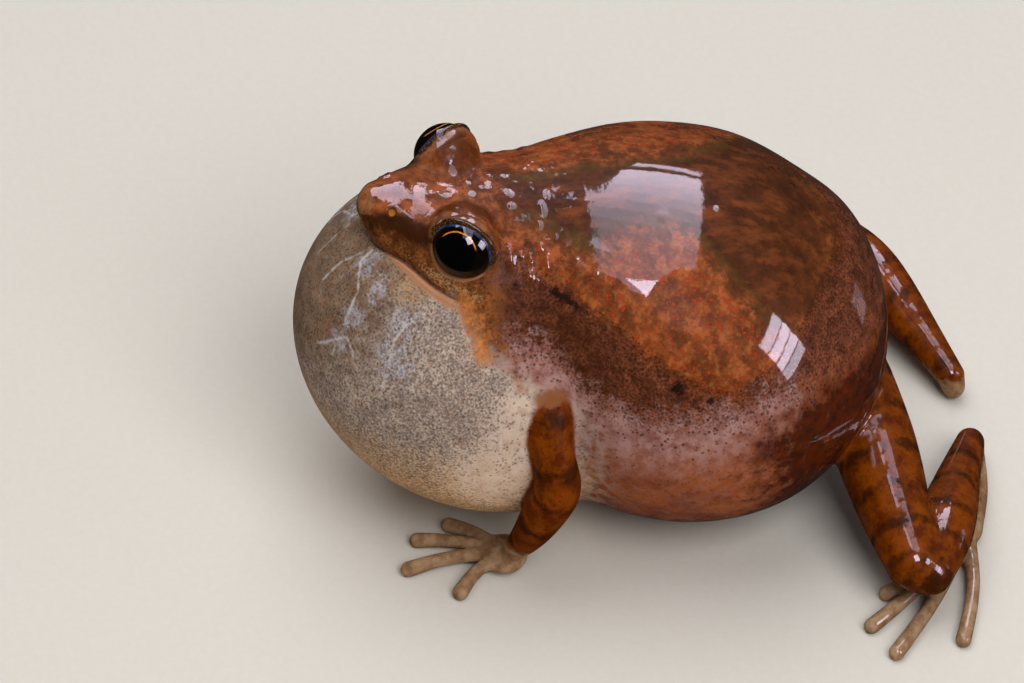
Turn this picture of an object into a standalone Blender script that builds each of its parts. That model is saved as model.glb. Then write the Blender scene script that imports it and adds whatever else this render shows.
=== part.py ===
# A narrow-mouthed frog calling, as a still life-size model.
#
# The animal sits on the floor and faces -Y. Its left side is +X, and +Z is up.
# The trunk is a blown-up ball of a body with the inflated throat in front of it. Both are
# modelled as one form, which thin cuts then part into torso and vocal sac. The head is let
# into the top of them, and each limb is made in three pieces, cut clear of what it grows from.

import math

import bmesh
import bpy
from mathutils import Euler, Matrix, Vector

MM = 0.001
GAP = 0.3                      # room between two pieces that meet
FAR = 30.0                     # half the size of the blocks that cut

# Driving dimensions, in millimetres, measured from the middle of the body
BODY_HALF_WIDTH = 7.43
BODY_HALF_HEIGHT = 6.64
BODY_CENTRE_Z = 6.31           # a little under the half height, so that the belly gets a flat
SAC_CENTRE = (0.0, -7.3, 6.5)
SAC_HALF_AXES = (6.15, 6.95, 5.85)
SAC_TILT = -34.0               # degrees: the long axis runs from the chin down to the chest
EYE_CENTRE = (2.48, -8.22, 12.97)
EYE_RADIUS = 1.12
EYE_GAP = 0.12                 # room round an eyeball, which thin lids hold
LID_RADIUS = 1.42
LID_INSET = (0.52, 0.12, -0.12)  # how far the eye mounds stand inward, back and up of the eyeballs
EYE_OPENING = (1.13, 1.0)      # half length and half height between the lids
EYE_LOOK = (0.93, -0.2, 0.31)  # where the left eye looks
NOSTRIL = (0.86, -10.3, 13.5)
NOSTRIL_RADIUS = 0.2
LIP_DEPTH = 0.32               # how deep the line of the mouth is cut
LIP_GAP = 0.2
FOOTPRINT_SHIFT = 1.75         # brings the middle of the footprint over the origin

# Cross sections of the body from the nape to the vent: place along Y, centre height,
# half width and half height
BODY_SECTIONS = (
    (-7.7, 9.7, 2.8, 3.0),
    (-6.4, 8.7, 4.3, 4.65),
    (-4.6, 7.25, 5.85, 6.05),
    (-2.3, 6.62, 7.15, 6.62),
    (0.2, BODY_CENTRE_Z, BODY_HALF_WIDTH, BODY_HALF_HEIGHT),
    (2.6, 6.2, 7.0, 5.95),
    (4.6, 6.1, 5.6, 4.8),
    (6.0, 6.2, 3.8, 3.4),
    (6.75, 6.2, 1.8, 1.7),
)

# Cross sections of the head from the snout to the nape: place along Y, height of the crown,
# height of the underside and half width
HEAD_SECTIONS = (
    (-11.42, 13.45, 12.35, 0.55),
    (-11.0, 13.7, 11.6, 1.14),
    (-10.2, 13.78, 10.4, 2.0),
    (-9.3, 13.8, 9.1, 2.95),
    (-8.3, 13.78, 8.1, 3.6),
    (-7.3, 13.6, 7.7, 3.9),
    (-6.3, 13.3, 7.9, 3.9),
    (-5.4, 12.8, 8.8, 3.0),
)

# The line of the mouth on either side, from in front of the snout to its corner: Y and Z
MOUTH_LINE = ((-12.2, 13.0), (-11.5, 12.6), (-10.8, 12.1), (-10.0, 11.6), (-9.3, 11.15), (-8.5, 10.75))

# The thin cut between vocal sac and torso, from under the head down to the chest: Y and Z
PARTING_TOP = (-7.5, 11.0)
PARTING_LOW = (-3.9, 1.0)

# Left limbs as runs of X, Y, Z and radius
UPPER_ARM = ((4.2, -5.2, 8.3, 0.9), (5.4, -5.7, 7.6, 1.0), (6.2, -5.75, 6.6, 0.92), (6.5, -5.5, 5.55, 0.85))
FOREARM = ((6.45, -5.65, 5.0, 0.8), (6.1, -6.05, 3.7, 0.78), (5.55, -6.45, 2.2, 0.64), (5.0, -6.8, 1.1, 0.5))
THIGH = ((1.8, 5.6, 4.2, 1.45), (4.2, 5.95, 3.3, 1.5), (6.6, 6.2, 2.6, 1.3), (8.7, 6.4, 2.1, 1.0))
SHANK = ((8.9, 7.1, 1.75, 0.85), (6.9, 7.9, 1.75, 1.1), (4.2, 8.95, 1.4, 0.85), (1.8, 9.9, 0.95, 0.55))
PALM = (4.6, -7.2, 0.42)
PALM_SIZE = (0.95, 0.85, 0.5)
FINGER_TIPS = ((2.7, -8.9), (3.3, -10.1), (4.7, -10.6), (6.1, -8.95))
TARSUS = ((1.6, 10.0, 0.5, 0.42), (3.6, 9.75, 0.45, 0.46), (5.6, 9.1, 0.42, 0.6))
TOE_ROOT = (5.6, 9.0)
TOE_TIPS = ((7.0, 6.9), (8.2, 5.7), (9.7, 4.9), (11.1, 5.5), (10.8, 7.9))
DIGIT_RADIUS = 0.27
DIGIT_HEIGHT = 0.2             # under the radius, so that each digit gets a narrow flat

# Two smaller rings that close the end of a limb: how far beyond the end, and how wide, in radii
END_ROUNDING = ((0.6, 0.78), (0.92, 0.36))

SIDES = (("left", 1), ("right", -1))


def clear_scene():
    for item in list(bpy.data.objects):
        bpy.data.objects.remove(item, do_unlink=True)


def new_collection(name):
    made = bpy.data.collections.new(name)
    bpy.context.scene.collection.children.link(made)
    return made


def skin_material(name, colour, roughness):
    made = bpy.data.materials.new(name)
    made.use_nodes = True
    shader = made.node_tree.nodes["Principled BSDF"]
    shader.inputs["Base Color"].default_value = (*colour, 1.0)
    shader.inputs["Roughness"].default_value = roughness
    shader.inputs["Metallic"].default_value = 0.0
    made.diffuse_color = (*colour, 1.0)
    return made


def add_object(name, bm, collection):
    bmesh.ops.recalc_face_normals(bm, faces=bm.faces)
    mesh = bpy.data.meshes.new(name)
    bm.to_mesh(mesh)
    bm.free()
    made = bpy.data.objects.new(name, mesh)
    collection.objects.link(made)
    return made


def as_tool(item):
    item.hide_render = True
    item.display_type = "WIRE"
    return item


def evaluated_copy(item, name, collection):
    graph = bpy.context.evaluated_depsgraph_get()
    graph.update()
    mesh = bpy.data.meshes.new_from_object(item.evaluated_get(graph))
    mesh.transform(item.matrix_world)
    made = bpy.data.objects.new(name, mesh)
    collection.objects.link(made)
    return made


# Replaces an object's mesh by what its modifiers make of it.
def bake(item):
    graph = bpy.context.evaluated_depsgraph_get()
    graph.update()
    mesh = bpy.data.meshes.new_from_object(item.evaluated_get(graph))
    item.modifiers.clear()
    item.data = mesh
    return item


def ring(bm, y, z, half_width, half_height, sides):
    turns = [2 * math.pi * (k + 0.5) / sides for k in range(sides)]
    return [
        bm.verts.new((half_width * MM * math.cos(t), y * MM, (z + half_height * math.sin(t)) * MM))
        for t in turns
    ]


# A closed form through oval rings, with a point in front and one behind, rounded by subdivision.
def loft(name, sections, ends, sides, collection):
    # Catmull-Clark pulls a ring in by this much, so the rings start that much larger
    spread = 1 / (0.75 + 0.25 * math.cos(2 * math.pi / sides))
    bm = bmesh.new()
    rings = [ring(bm, y, z, w * spread, h * spread, sides) for y, z, w, h in sections]
    for one, two in zip(rings, rings[1:]):
        for k in range(sides):
            bm.faces.new((one[k], one[(k + 1) % sides], two[(k + 1) % sides], two[k]))
    for loop, end in ((rings[0], ends[0]), (rings[-1], ends[1])):
        tip = bm.verts.new((0.0, end[0] * MM, end[1] * MM))
        for k in range(sides):
            bm.faces.new((loop[k], loop[(k + 1) % sides], tip))
    made = add_object(name, bm, collection)
    rounding = made.modifiers.new("rounding", "SUBSURF")
    rounding.levels = 1
    rounding.render_levels = 1
    return bake(made)


def ellipsoid(name, centre, half_axes, turn, detail, collection):
    bm = bmesh.new()
    bmesh.ops.create_uvsphere(bm, u_segments=detail * 2, v_segments=detail, radius=1.0)
    place = Matrix.Translation(Vector(centre) * MM) @ turn.to_matrix().to_4x4()
    size = Matrix.Diagonal((*[a * MM for a in half_axes], 1.0))
    bmesh.ops.transform(bm, matrix=place @ size, verts=bm.verts)
    return add_object(name, bm, collection)


def box(name, low, high, collection):
    bm = bmesh.new()
    bmesh.ops.create_cube(bm, size=1.0)
    low, high = Vector(low) * MM, Vector(high) * MM
    size = Matrix.Diagonal((*(high - low), 1.0))
    bmesh.ops.transform(bm, matrix=Matrix.Translation((low + high) / 2) @ size, verts=bm.verts)
    return add_object(name, bm, collection)


# A tapering tube with rounded ends, through points of X, Y, Z and radius.
def limb(name, run, fineness, collection):
    first, last = Vector(run[0][:3]), Vector(run[-1][:3])
    start_way = (first - Vector(run[1][:3])).normalized()
    end_way = (last - Vector(run[-2][:3])).normalized()
    starts = [(*(first + start_way * run[0][3] * out), run[0][3] * wide) for out, wide in END_ROUNDING]
    ends = [(*(last + end_way * run[-1][3] * out), run[-1][3] * wide) for out, wide in END_ROUNDING]
    points = [*reversed(starts), *run, *ends]
    curve = bpy.data.curves.new(name, "CURVE")
    curve.dimensions = "3D"
    curve.bevel_depth = MM
    curve.bevel_resolution = fineness
    curve.use_fill_caps = True
    curve.resolution_u = 2
    spline = curve.splines.new("BEZIER")
    spline.bezier_points.add(len(points) - 1)
    for knot, (x, y, z, radius) in zip(spline.bezier_points, points):
        knot.co = Vector((x, y, z)) * MM
        knot.radius = radius
        knot.handle_left_type = "AUTO"
        knot.handle_right_type = "AUTO"
    drawn = bpy.data.objects.new(name + "_curve", curve)
    collection.objects.link(drawn)
    made = evaluated_copy(drawn, name, collection)
    bpy.data.objects.remove(drawn, do_unlink=True)
    bm = bmesh.new()
    bm.from_mesh(made.data)
    bmesh.ops.remove_doubles(bm, verts=bm.verts, dist=0.001 * MM)
    bmesh.ops.recalc_face_normals(bm, faces=bm.faces)
    bm.to_mesh(made.data)
    bm.free()
    return made


def mirrored(run):
    return tuple((-point[0], *point[1:]) for point in run)


def on_side(run, side):
    return run if side > 0 else mirrored(run)


# A copy of a form with its surface moved out, or in where by is negative.
def grown(item, by, collection):
    made = evaluated_copy(item, item.name + "_grown", collection)
    push = made.modifiers.new("push", "DISPLACE")
    push.strength = by * MM
    push.mid_level = 0.0
    bake(made)
    return as_tool(made)


# Whether a mesh has faces, and no open or branching edge.
def is_closed(mesh):
    bm = bmesh.new()
    bm.from_mesh(mesh)
    closed = len(bm.faces) > 0 and all(edge.is_manifold for edge in bm.edges)
    bm.free()
    return closed


# A Boolean with the exact solver, or with the manifold one where that leaves the mesh open.
def combine(item, other, operation):
    before = item.data
    for solver in ("EXACT", "MANIFOLD"):
        item.data = before
        cut = item.modifiers.new("combine", "BOOLEAN")
        cut.operation = operation
        cut.solver = solver
        cut.object = other
        bake(item)
        if is_closed(item.data):
            return item
    return item


# One Boolean union of closed pieces, which are then removed.
def join(name, pieces, collection):
    heap = bpy.data.collections.new(name + "_pieces")
    bpy.context.scene.collection.children.link(heap)
    for piece in pieces[1:]:
        for holder in list(piece.users_collection):
            holder.objects.unlink(piece)
        heap.objects.link(piece)
    made = pieces[0]
    made.name = name
    union = made.modifiers.new("union", "BOOLEAN")
    union.operation = "UNION"
    union.operand_type = "COLLECTION"
    union.collection = heap
    union.solver = "EXACT"
    bake(made)
    for piece in list(heap.objects):
        bpy.data.objects.remove(piece, do_unlink=True)
    bpy.data.collections.remove(heap)
    for holder in list(made.users_collection):
        holder.objects.unlink(made)
    collection.objects.link(made)
    return made


# Keeps the largest closed surface of a piece and drops scraps.
def largest_surface(item):
    bm = bmesh.new()
    bm.from_mesh(item.data)
    bmesh.ops.remove_doubles(bm, verts=bm.verts, dist=0.002 * MM)
    bmesh.ops.dissolve_degenerate(bm, edges=bm.edges, dist=0.001 * MM)
    left = set(bm.faces)
    groups = []
    while left:
        group = {left.pop()}
        edge_of_group = list(group)
        while edge_of_group:
            face = edge_of_group.pop()
            for edge in face.edges:
                for near in edge.link_faces:
                    if near in left:
                        left.remove(near)
                        group.add(near)
                        edge_of_group.append(near)
        groups.append(group)
    keep = max(groups, key=lambda faces: sum(face.calc_area() for face in faces))
    drop = [face for face in bm.faces if face not in keep]
    bmesh.ops.delete(bm, geom=drop, context="FACES")
    bmesh.ops.triangulate(bm, faces=bm.faces)
    bm.to_mesh(item.data)
    bm.free()
    return item


def finish(item, material):
    largest_surface(item)
    item.data.materials.clear()
    item.data.materials.append(material)
    item.data.shade_smooth()
    item.data.set_sharp_from_angle(angle=math.radians(40))
    item.location.y += FOOTPRINT_SHIFT * MM


def body_form(tools):
    return loft("body_form", BODY_SECTIONS, ((-8.3, 10.1), (7.0, 6.2)), 16, tools)


def head_form(tools):
    sections = [(y, (top + low) / 2, width, (top - low) / 2) for y, top, low, width in HEAD_SECTIONS]
    return loft("head_form", sections, ((-11.55, 13.0), (-5.0, 10.9)), 14, tools)


def sac_form(tools):
    tilt = Euler((math.radians(SAC_TILT), 0.0, 0.0))
    return ellipsoid("sac_form", SAC_CENTRE, SAC_HALF_AXES, tilt, 16, tools)


# A block that reaches up to the parting cut, from in front of it or from behind it.
def half_space(name, ahead, tools):
    top, low = Vector((0.0, *PARTING_TOP)), Vector((0.0, *PARTING_LOW))
    way = (top - low).normalized()
    lean = math.atan2(-way.y, way.z)
    if ahead:
        block = box(name, (-FAR, -FAR, -FAR), (FAR, -GAP / 2, FAR), tools)
    else:
        block = box(name, (-FAR, GAP / 2, -FAR), (FAR, FAR, FAR), tools)
    block.data.transform(Matrix.Translation((top + low) / 2 * MM) @ Matrix.Rotation(lean, 4, "X"))
    return as_tool(block)


def eye_place(side):
    x, y, z = EYE_CENTRE
    return Vector((x * side, y, z))


def eye_look(side):
    x, y, z = EYE_LOOK
    return Vector((x * side, y, z)).normalized()


# Mounds round the eyes, hollowed for the eyeballs and opened between the lids.
def add_eyelids(head, tools):
    for word, side in SIDES:
        inward = Vector((-side * LID_INSET[0], *LID_INSET[1:]))
        mound = ellipsoid(
            "lid_mound_" + word,
            eye_place(side) + inward,
            (LID_RADIUS, LID_RADIUS * 1.04, LID_RADIUS),
            Euler((0.0, 0.0, 0.0)),
            10,
            tools,
        )
        combine(head, mound, "UNION")
        bpy.data.objects.remove(mound, do_unlink=True)
    for word, side in SIDES:
        hollow = EYE_RADIUS + EYE_GAP
        socket = ellipsoid(
            "socket_" + word, eye_place(side), (hollow, hollow, hollow), Euler((0.0, 0.0, 0.0)), 10, tools
        )
        combine(head, socket, "DIFFERENCE")
        bpy.data.objects.remove(socket, do_unlink=True)
        bm = bmesh.new()
        bmesh.ops.create_cone(
            bm, cap_ends=True, segments=20, radius1=1.0, radius2=1.25, depth=1.0
        )
        reach = 3.0
        half_length, half_height = EYE_OPENING
        size = Matrix.Diagonal((half_length * MM, half_height * MM, reach * MM, 1.0))
        look = eye_look(side).to_track_quat("Z", "Y").to_matrix().to_4x4()
        place = Matrix.Translation((eye_place(side) + eye_look(side) * (reach / 2 + 0.2)) * MM)
        bmesh.ops.transform(bm, matrix=place @ look @ size, verts=bm.verts)
        opening = add_object("opening_" + word, bm, tools)
        combine(head, opening, "DIFFERENCE")
        bpy.data.objects.remove(opening, do_unlink=True)


def add_nostrils(head, tools):
    x, y, z = NOSTRIL
    size = (NOSTRIL_RADIUS, NOSTRIL_RADIUS * 1.3, NOSTRIL_RADIUS * 1.2)
    for word, side in SIDES:
        pit = ellipsoid("pit_" + word, (x * side, y, z), size, Euler((0.0, 0.0, 0.0)), 6, tools)
        combine(head, pit, "DIFFERENCE")
        bpy.data.objects.remove(pit, do_unlink=True)


# The line of the mouth: a thin band across the head, less the core of the head.
def cut_mouth(head, form, tools):
    bm = bmesh.new()
    wide = 6.0
    rows = []
    for x in (-wide, wide):
        rows.append([bm.verts.new((x * MM, y * MM, z * MM)) for y, z in MOUTH_LINE])
    for one, two, three, four in zip(rows[0], rows[0][1:], rows[1][1:], rows[1]):
        bm.faces.new((one, two, three, four))
    band = add_object("mouth_band", bm, tools)
    thick = band.modifiers.new("thick", "SOLIDIFY")
    thick.thickness = LIP_GAP * MM
    thick.offset = 0.0
    bake(band)
    core = grown(form, -LIP_DEPTH, tools)
    combine(band, core, "DIFFERENCE")
    combine(head, band, "DIFFERENCE")
    bpy.data.objects.remove(core, do_unlink=True)
    bpy.data.objects.remove(band, do_unlink=True)


# A finger or toe that lies on the floor, from its root in the palm or sole to its tip.
def digit(name, root, tip, bow, tools):
    start, end = Vector((*root, DIGIT_HEIGHT + 0.1)), Vector((*tip, DIGIT_HEIGHT))
    across = Vector((end.y - start.y, start.x - end.x, 0.0)).normalized() * bow
    middle = (start + end) / 2 + across + Vector((0.0, 0.0, 0.1))
    run = (
        (*start, DIGIT_RADIUS * 1.1),
        (*middle, DIGIT_RADIUS * 0.98),
        (*end, DIGIT_RADIUS * 0.95),
    )
    return limb(name, run, 1, tools)


def hand(name, side, nodes, tools):
    centre = (PALM[0] * side, *PALM[1:])
    pieces = [ellipsoid(name + "_palm", centre, PALM_SIZE, Euler((0.0, 0.0, 0.0)), 6, tools)]
    for count, (x, y) in enumerate(FINGER_TIPS):
        root = (centre[0] + (x * side - centre[0]) * 0.12, centre[1] + (y - centre[1]) * 0.12)
        pieces.append(digit(f"{name}_finger_{count}", root, (x * side, y), 0.18 * side, tools))
    return join(name, pieces, nodes)


def foot(name, side, nodes, tools):
    pieces = [limb(name + "_tarsus", on_side(TARSUS, side), 2, tools)]
    root = (TOE_ROOT[0] * side, TOE_ROOT[1])
    for count, (x, y) in enumerate(TOE_TIPS):
        pieces.append(digit(f"{name}_toe_{count}", root, (x * side, y), -0.3 * side, tools))
    return join(name, pieces, nodes)


def move_to(item, name, collection):
    for holder in list(item.users_collection):
        holder.objects.unlink(item)
    collection.objects.link(item)
    item.name = name
    return item


def build():
    clear_scene()
    nodes = new_collection("calling_narrow_mouthed_frog")
    tools = new_collection("cutters")

    chestnut = skin_material("chestnut_skin", (0.11, 0.035, 0.015), 0.25)
    belly = skin_material("flank_skin", (0.16, 0.075, 0.05), 0.25)
    sac_skin = skin_material("sac_skin", (0.42, 0.34, 0.27), 0.25)
    limb_skin = skin_material("limb_skin", (0.2, 0.07, 0.025), 0.3)
    eye_glass = skin_material("eye_glass", (0.01, 0.008, 0.006), 0.05)

    body, head_shape, sac_shape = body_form(tools), head_form(tools), sac_form(tools)

    # The trunk whole, with a seat for the head, then parted
    head_room = grown(head_shape, GAP, tools)
    trunk = evaluated_copy(body, "trunk", tools)
    combine(trunk, sac_shape, "UNION")
    trunk_rooms = (grown(body, GAP, tools), grown(sac_shape, GAP, tools))
    combine(trunk, head_room, "DIFFERENCE")
    below = as_tool(box("below_floor", (-FAR, -FAR, -FAR), (FAR, FAR, 0.0), tools))

    torso = evaluated_copy(trunk, "torso", nodes)
    combine(torso, half_space("behind", False, tools), "INTERSECT")
    combine(torso, below, "DIFFERENCE")
    finish(torso, belly)
    sac = evaluated_copy(trunk, "vocal_sac", nodes)
    combine(sac, half_space("ahead", True, tools), "INTERSECT")
    combine(sac, below, "DIFFERENCE")
    finish(sac, sac_skin)

    head = evaluated_copy(head_shape, "head", nodes)
    cut_mouth(head, head_shape, tools)
    add_eyelids(head, tools)
    add_nostrils(head, tools)
    finish(head, chestnut)

    turned = Euler((0.0, 0.0, 0.0))
    for word, side in SIDES:
        ball = (EYE_RADIUS, EYE_RADIUS, EYE_RADIUS)
        eye = ellipsoid("eye_" + word, eye_place(side), ball, turned, 10, nodes)
        finish(eye, eye_glass)

        arm = move_to(limb("arm", on_side(UPPER_ARM, side), 3, tools), "upper_arm_" + word, nodes)
        fore = move_to(limb("fore", on_side(FOREARM, side), 3, tools), "forearm_" + word, nodes)
        palm = hand("hand_" + word, side, nodes, tools)
        thigh = move_to(limb("thigh", on_side(THIGH, side), 3, tools), "thigh_" + word, nodes)
        shank = move_to(limb("shank", on_side(SHANK, side), 3, tools), "shank_" + word, nodes)
        sole = foot("foot_" + word, side, nodes, tools)

        arm_room = grown(arm, GAP, tools)
        fore_room = grown(fore, GAP, tools)
        thigh_room = grown(thigh, GAP, tools)
        shank_room = grown(shank, GAP, tools)
        for item in (arm, fore, palm, thigh, shank, sole):
            for room in trunk_rooms:
                combine(item, room, "DIFFERENCE")
            combine(item, below, "DIFFERENCE")
        combine(fore, arm_room, "DIFFERENCE")
        combine(palm, fore_room, "DIFFERENCE")
        combine(shank, thigh_room, "DIFFERENCE")
        combine(sole, shank_room, "DIFFERENCE")
        combine(sole, thigh_room, "DIFFERENCE")
        for item in (arm, fore, palm, thigh, shank, sole):
            finish(item, limb_skin)

    for item in list(tools.objects):
        bpy.data.objects.remove(item, do_unlink=True)


build()
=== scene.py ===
# A narrow-mouthed frog calling: one wet skin over body, throat sac, head and limbs, and two eyes.
# The animal faces -Y. Shapes are worked out in millimetres, from the middle of its body.
import math
import random
import time

import bmesh
import bpy
import numpy as np
from mathutils import Matrix, Vector


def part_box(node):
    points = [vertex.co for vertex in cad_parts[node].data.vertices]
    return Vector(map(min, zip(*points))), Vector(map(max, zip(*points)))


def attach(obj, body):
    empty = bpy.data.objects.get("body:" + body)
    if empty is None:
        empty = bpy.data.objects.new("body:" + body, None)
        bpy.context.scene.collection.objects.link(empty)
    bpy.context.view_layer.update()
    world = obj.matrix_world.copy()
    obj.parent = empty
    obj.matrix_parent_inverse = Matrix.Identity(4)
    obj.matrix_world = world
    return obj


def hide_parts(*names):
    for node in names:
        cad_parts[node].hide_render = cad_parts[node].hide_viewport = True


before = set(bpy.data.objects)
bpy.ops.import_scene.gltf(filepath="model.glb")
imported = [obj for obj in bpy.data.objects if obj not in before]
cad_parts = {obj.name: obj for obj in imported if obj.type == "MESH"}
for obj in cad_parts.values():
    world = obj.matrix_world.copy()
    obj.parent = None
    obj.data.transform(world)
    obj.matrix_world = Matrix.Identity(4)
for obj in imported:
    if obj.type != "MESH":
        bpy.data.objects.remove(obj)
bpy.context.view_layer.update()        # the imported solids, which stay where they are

mm = 0.001
started = time.time()


def say(*words):
    print(f"{time.time() - started:6.1f} s", *words)


say("frame loaded:", len(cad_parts), "solids")


# The eyes are read from the frame. Everything else is placed from them.
eyeLow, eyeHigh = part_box("eye_left")
eye = {
    "centre": (2.48, -8.22, 12.97),
    "radius": (eyeHigh.x - eyeLow.x) / 2 / mm,
    "look": (0.86, -0.44, 0.28),
    "farLook": (-0.8, -0.42, 0.43),
    "turned": -18.0,         # degrees that the opening's rear corner is lower
    "halfLength": 71.0,      # degrees from the look axis to the corners of the lids
    "halfHeight": 60.0,      # and to the upper and the lower lid
    "lidThick": 0.1,
    # across the lids, with 1 at their rim: where the skin comes up from under the eyeball, where the lid
    # has run out into the skin and where it is whole, then a swelling and a groove, each with its place,
    # width and height
    "opening": (0.97, 1.05),
    "lidFades": (1.38, 1.05),
    "roll": (1.1, 0.08, 0.02),
    "fold": (1.52, 0.06, 0.05),
    "around": 2.6,           # how far from its middle points belong to an eye
    "sunk": 0.22,            # how far the skin goes under the eyeball
    "farLower": 0.15,        # how much lower the right eye sits than the left one
    "mound": (1.3, 1.2, 1.28),
    "moundInset": (0.5, -0.04, -0.18),
    "moundBlend": 0.5,
}
shift = (eyeLow.y + eyeHigh.y) / 2 / mm - eye["centre"][1]

# Cross sections: place along Y, centre height, half width, half height
body = {
    "sections": (
        (-7.7, 9.7, 2.8, 3.0),
        (-6.4, 8.68, 4.3, 4.67),
        (-4.6, 7.3, 5.85, 6.15),
        (-2.3, 6.66, 7.1, 6.7),
        (0.2, 6.36, 7.43, 6.62),
        (2.6, 6.2, 6.95, 5.9),
        (4.6, 6.1, 5.5, 4.7),
        (6.0, 6.2, 3.7, 3.3),
    ),
    "front": (-8.3, 10.1),
    "rear": (6.9, 6.2),
}

# Cross sections: place along Y, crown height, underside height, half width
head = {
    "sections": (
        (-11.4, 13.45, 12.35, 0.7),
        (-11.1, 13.64, 11.6, 1.14),
        (-10.2, 13.68, 10.3, 2.05),
        (-9.3, 13.6, 8.9, 3.15),
        (-8.3, 13.42, 8.0, 3.8),
        (-7.3, 13.24, 7.7, 3.86),
        (-6.3, 12.94, 7.9, 3.7),
        (-5.4, 12.2, 8.8, 2.8),
    ),
    "front": (-11.62, 13.0),
    "rear": (-5.0, 10.9),
    "blend": 1.3,            # how softly the head runs into the body
}

sac = {
    "centre": (0.0, -7.3, 6.5),
    "halfAxes": (6.12, 6.92, 5.82),
    "tilt": -34.0,
    "blendLip": 0.1,         # a sharp crease along the mouth
    "blendChest": 1.1,       # and a soft one down the chest
}

# Left limbs: X, Y, Z, radius
arm = {
    "points": (
        (4.2, -5.2, 8.3, 0.8),
        (5.4, -5.75, 7.6, 0.72),
        (6.15, -5.75, 6.6, 0.68),
        (6.45, -5.6, 5.5, 0.77),
        (6.4, -5.75, 4.6, 0.8),
        (6.1, -6.1, 3.5, 0.74),
        (5.55, -6.45, 2.2, 0.6),
        (5.0, -6.8, 1.1, 0.45),
        (4.75, -7.05, 0.6, 0.4),
    ),
    "blend": 0.5,
}
hand = {
    "palm": (4.6, -7.2, 0.42),
    "palmSize": (0.9, 0.8, 0.42),
    "tips": ((2.7, -8.9), (3.3, -10.1), (4.7, -10.6), (6.1, -8.95)),
    "bow": 0.18,
    "blend": 0.3,
}
leg = {
    "thigh": ((1.8, 5.6, 4.2, 1.4), (4.2, 5.95, 3.3, 1.45), (6.6, 6.2, 2.6, 1.25), (8.7, 6.45, 2.1, 0.95)),
    "shank": ((9.0, 7.0, 1.8, 0.78), (6.9, 7.9, 1.75, 1.05), (4.2, 8.95, 1.4, 0.8), (1.8, 9.9, 0.95, 0.5)),
    "tarsus": ((1.6, 10.0, 0.5, 0.4), (3.6, 9.75, 0.45, 0.44), (5.6, 9.1, 0.42, 0.5)),
    "toeRoot": (5.6, 9.0),
    "tips": ((7.0, 6.9), (8.2, 5.7), (9.7, 4.9), (11.1, 5.5), (10.8, 7.9)),
    "bow": -0.3,
    "blend": 0.45,
}
digit = {"radius": 0.25, "height": 0.21, "tip": 0.27}

skin = {
    "voxel": 0.15,     # halved once by subdivision, and once more on the head
    "fineY": -4.4,           # the finer skin reaches back to here
    "fineZ": 10.3,           # and down to here
    "relax": 6,
}


# A natural cubic spline, whose curvature has no breaks that wet skin would show.
# It goes on straight at the ends.
def spline(xs, ys):
    xs, ys = np.array(xs, float), np.array(ys, float)
    count, step = len(xs), np.diff(xs)
    rows, right = np.eye(count), np.zeros(count)
    for i in range(1, count - 1):
        rows[i, i - 1:i + 2] = step[i - 1], 2 * (step[i - 1] + step[i]), step[i]
        right[i] = 6 * ((ys[i + 1] - ys[i]) / step[i] - (ys[i] - ys[i - 1]) / step[i - 1])
    bend = np.linalg.solve(rows, right)

    def at(x):
        inside = np.clip(x, xs[0], xs[-1])
        k = np.clip(np.searchsorted(xs, inside) - 1, 0, count - 2)
        t, span = inside - xs[k], step[k]
        b = (ys[k + 1] - ys[k]) / span - span * (2 * bend[k] + bend[k + 1]) / 6
        d = (bend[k + 1] - bend[k]) / (6 * span)
        value = ys[k] + t * (b + t * (bend[k] / 2 + t * d))
        slope = b + t * (bend[k] + 3 * t * d)
        return value + slope * (x - inside), slope

    return at


def smoothStep(low, high, x):
    t = np.clip((x - low) / (high - low), 0.0, 1.0)
    return t * t * (3 - 2 * t)


# 1 where x is 0, down to about a third at the width
def bell(x, wide=1.0):
    return np.exp(-(x / wide) ** 2)


def lengthOf(v):
    return np.sqrt(v[..., 0] ** 2 + v[..., 1] ** 2 + v[..., 2] ** 2)


def unit(v):
    v = np.array(v, float)
    return v / np.linalg.norm(v)


# Places of the left side, on the side asked for: 1 is left and -1 right
def flipped(places, side):
    return np.array(places) * (side, 1, 1)


# The right half of the animal folded onto the left
def folded(p):
    return np.abs(p[:, :1]) * (1, 0, 0) + p * (0, 1, 1)


# Each form tells how far points lie outside it, in millimetres near its surface, and which way is out.
def loftForm(sections, front, rear):
    ys = [s[0] for s in sections]
    middle = spline([front[0], *ys, rear[0]], [front[1], *[s[1] for s in sections], rear[1]])
    ratio = spline(ys, [(s[3] / s[2]) ** 2 for s in sections])
    size = spline([front[0], *ys, rear[0]], [0.0, *[s[3] ** 2 for s in sections], 0.0])

    def section(y):
        high = math.sqrt(max(size(y)[0], 1e-6))
        return float(middle(y)[0]), high / math.sqrt(ratio(y)[0]), high

    def form(p):
        x, y, z = p.T
        mid, midSlope = middle(y)
        wide, wideSlope = ratio(y)
        high, highSlope = size(y)
        up = z - mid
        value = wide * x * x + up * up - high
        out = np.stack([2 * wide * x, wideSlope * x * x - 2 * up * midSlope - highSlope, 2 * up], 1)
        steep = lengthOf(out) + 1e-9
        return value / steep, out / steep[:, None]

    return form, section


def ellipsoidForm(centre, halfAxes, tilt=0.0):
    c, s = math.cos(math.radians(tilt)), math.sin(math.radians(tilt))
    turn = np.array([[1, 0, 0], [0, c, -s], [0, s, c]])
    axes = np.array(halfAxes)

    def form(p):
        q = (p - np.array(centre)) @ turn / axes
        far = lengthOf(q) + 1e-9
        out = (q / axes) @ turn.T / far[:, None]
        steep = lengthOf(out) + 1e-9
        return (far - 1) / steep, out / steep[:, None]

    return form


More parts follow.
